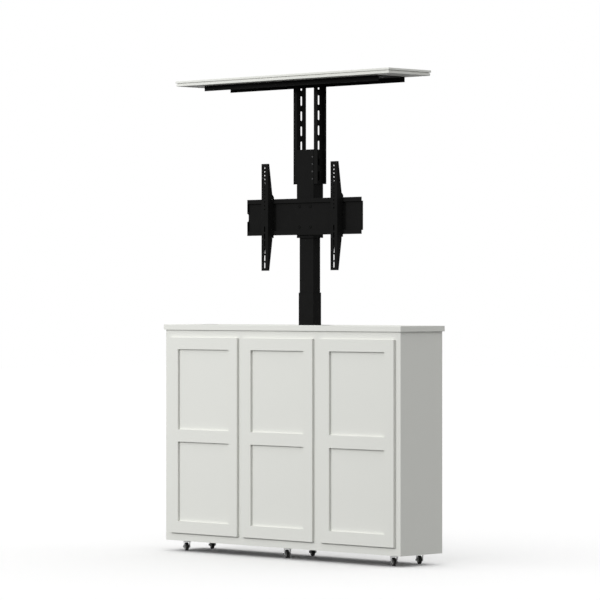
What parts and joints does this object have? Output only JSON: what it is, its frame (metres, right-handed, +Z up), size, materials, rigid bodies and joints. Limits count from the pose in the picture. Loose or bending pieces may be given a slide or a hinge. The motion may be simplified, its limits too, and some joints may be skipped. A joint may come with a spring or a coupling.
{
  "type": "television lift cabinet",
  "caption": "Low cabinet on casters with a telescopic column that raises a lid and a television bracket out of a slot in its top and lowers them again.",
  "frame": {"origin": "centre of the footprint on the floor, under the casters", "axes": "+Z up along the lift column's travel; +X to the right along the cabinet's front; +Y to the back, so the doors face -Y"},
  "size_m": [1.368, 0.263, 1.984],
  "materials": {
    "cabinet_paint": "satin paint, light grey-white",
    "carcase_board": "matt lacquer",
    "black_steel": "black powder coat",
    "bright_steel": "bright zinc",
    "white_metal": "light grey zinc and paint",
    "black_plastic": "matt",
    "grey_plastic": "matt",
    "wheel_rubber": "dark tread on a light grey hub",
    "motor_shell": "satin"
  },
  "bodies": {
    "cabinet": {"side_panel_left": "cabinet_paint", "side_panel_right": "cabinet_paint", "bottom_panel": "carcase_board", "back_panel": "carcase_board", "face_frame": "cabinet_paint", "counter_top": "cabinet_paint", "hinge_arms": "bright_steel", "caster_plates": "white_metal", "lift_base_plate": "black_steel", "gear_case": "grey_plastic", "lift_motor": "motor_shell", "control_box": "black_plastic", "outer_tube": "black_steel", "outer_glide": "black_plastic", "wall_bracket": "black_steel", "lift_screws": "bright_steel"},
    "drive_screw": {"drive_screw": "bright_steel"},
    "upper_screw": {"upper_screw": "bright_steel"},
    "middle_stage": {"middle_tube": "black_steel", "middle_glide": "black_plastic", "middle_foot": "black_plastic"},
    "inner_stage": {"inner_tube": "black_steel", "inner_foot": "black_plastic", "carriage": "black_steel", "carriage_bars": "black_steel", "carriage_bolts": "bright_steel", "mount_plate": "black_steel", "plate_bolts": "bright_steel"},
    "arm_left": {"arm_left": "black_steel", "arm_lock_left": "black_steel"},
    "arm_right": {"arm_right": "black_steel", "arm_lock_right": "black_steel"},
    "lid_bracket": {"upright_left": "black_steel", "upright_right": "black_steel", "clamp_bolts": "black_steel", "lid_channel": "black_steel", "channel_bolts": "black_steel", "lid": "cabinet_paint", "lid_screws": "bright_steel"},
    "door_left": {"door_left_frame": "cabinet_paint", "door_left_panels": "cabinet_paint", "hinge_cups_left": "bright_steel"},
    "door_centre": {"door_centre_frame": "cabinet_paint", "door_centre_panels": "cabinet_paint", "hinge_cups_centre": "bright_steel"},
    "door_right": {"door_right_frame": "cabinet_paint", "door_right_panels": "cabinet_paint", "hinge_cups_right": "bright_steel"},
    "caster_1": {"caster_fork_1": "white_metal"},
    "wheel_1": {"caster_wheel_1": "wheel_rubber"},
    "caster_2": {"caster_fork_2": "white_metal"},
    "wheel_2": {"caster_wheel_2": "wheel_rubber"},
    "caster_3": {"caster_fork_3": "white_metal"},
    "wheel_3": {"caster_wheel_3": "wheel_rubber"},
    "caster_4": {"caster_fork_4": "white_metal"},
    "wheel_4": {"caster_wheel_4": "wheel_rubber"},
    "caster_5": {"caster_fork_5": "white_metal"},
    "wheel_5": {"caster_wheel_5": "wheel_rubber"},
    "caster_6": {"caster_fork_6": "white_metal"},
    "wheel_6": {"caster_wheel_6": "wheel_rubber"}
  },
  "joints": [
    {"name": "middle_slide", "type": "slide", "parent": "cabinet", "child": "middle_stage", "axis": [0, 0, 1], "range_m": [-0.455, 0]},
    {"name": "inner_slide", "type": "slide", "parent": "middle_stage", "child": "inner_stage", "axis": [0, 0, 1], "range_m": [-0.455, 0]},
    {"name": "lid_slide", "type": "slide", "parent": "inner_stage", "child": "lid_bracket", "axis": [0, 0, 1], "range_m": [-0.094, 0]},
    {"name": "drive_screw_spin", "type": "hinge", "parent": "cabinet", "child": "drive_screw", "pos_m": [-0.018, 0.0575, 0.063], "axis": [0, 0, 1], "continuous": true},
    {"name": "upper_screw_spin", "type": "hinge", "parent": "middle_stage", "child": "upper_screw", "pos_m": [0.018, 0.0575, 0.531], "axis": [0, 0, 1], "continuous": true},
    {"name": "arm_left_slide", "type": "slide", "parent": "inner_stage", "child": "arm_left", "axis": [1, 0, 0], "range_m": [-0.1, 0.1]},
    {"name": "arm_right_slide", "type": "slide", "parent": "inner_stage", "child": "arm_right", "axis": [1, 0, 0], "range_m": [-0.1, 0.1]},
    {"name": "door_left_hinge", "type": "hinge", "parent": "cabinet", "child": "door_left", "pos_m": [-0.645, -0.1265, 0.4905], "axis": [0, 0, -1], "range_deg": [0, 95]},
    {"name": "door_centre_hinge", "type": "hinge", "parent": "cabinet", "child": "door_centre", "pos_m": [-0.209, -0.1265, 0.4905], "axis": [0, 0, -1], "range_deg": [0, 95]},
    {"name": "door_right_hinge", "type": "hinge", "parent": "cabinet", "child": "door_right", "pos_m": [0.648, -0.1265, 0.4905], "axis": [0, 0, 1], "range_deg": [0, 95]},
    {"name": "caster_1_swivel", "type": "hinge", "parent": "cabinet", "child": "caster_1", "pos_m": [-0.599, -0.074, 0.0417], "axis": [0, 0, 1], "continuous": true},
    {"name": "caster_1_wheel", "type": "hinge", "parent": "caster_1", "child": "wheel_1", "pos_m": [-0.60424, -0.07107, 0.0175], "axis": [-0.4879, -0.8729, 0], "continuous": true},
    {"name": "caster_2_swivel", "type": "hinge", "parent": "cabinet", "child": "caster_2", "pos_m": [0, -0.074, 0.0417], "axis": [0, 0, 1], "continuous": true},
    {"name": "caster_2_wheel", "type": "hinge", "parent": "caster_2", "child": "wheel_2", "pos_m": [-0.00524, -0.07107, 0.0175], "axis": [-0.4879, -0.8729, 0], "continuous": true},
    {"name": "caster_3_swivel", "type": "hinge", "parent": "cabinet", "child": "caster_3", "pos_m": [0.599, -0.074, 0.0417], "axis": [0, 0, 1], "continuous": true},
    {"name": "caster_3_wheel", "type": "hinge", "parent": "caster_3", "child": "wheel_3", "pos_m": [0.59376, -0.07107, 0.0175], "axis": [-0.4879, -0.8729, 0], "continuous": true},
    {"name": "caster_4_swivel", "type": "hinge", "parent": "cabinet", "child": "caster_4", "pos_m": [-0.599, 0.077, 0.0417], "axis": [0, 0, 1], "continuous": true},
    {"name": "caster_4_wheel", "type": "hinge", "parent": "caster_4", "child": "wheel_4", "pos_m": [-0.60424, 0.07993, 0.0175], "axis": [-0.4879, -0.8729, 0], "continuous": true},
    {"name": "caster_5_swivel", "type": "hinge", "parent": "cabinet", "child": "caster_5", "pos_m": [0, 0.077, 0.0417], "axis": [0, 0, 1], "continuous": true},
    {"name": "caster_5_wheel", "type": "hinge", "parent": "caster_5", "child": "wheel_5", "pos_m": [-0.00524, 0.07993, 0.0175], "axis": [-0.4879, -0.8729, 0], "continuous": true},
    {"name": "caster_6_swivel", "type": "hinge", "parent": "cabinet", "child": "caster_6", "pos_m": [0.599, 0.077, 0.0417], "axis": [0, 0, 1], "continuous": true},
    {"name": "caster_6_wheel", "type": "hinge", "parent": "caster_6", "child": "wheel_6", "pos_m": [0.59376, 0.07993, 0.0175], "axis": [-0.4879, -0.8729, 0], "continuous": true}
  ],
  "couplings": [
    {"joint": "inner_slide", "follows": "middle_slide", "ratio": 1},
    {"joint": "drive_screw_spin", "follows": "middle_slide", "rad_per_m": -1047.2},
    {"joint": "upper_screw_spin", "follows": "middle_slide", "rad_per_m": -1047.2}
  ]
}
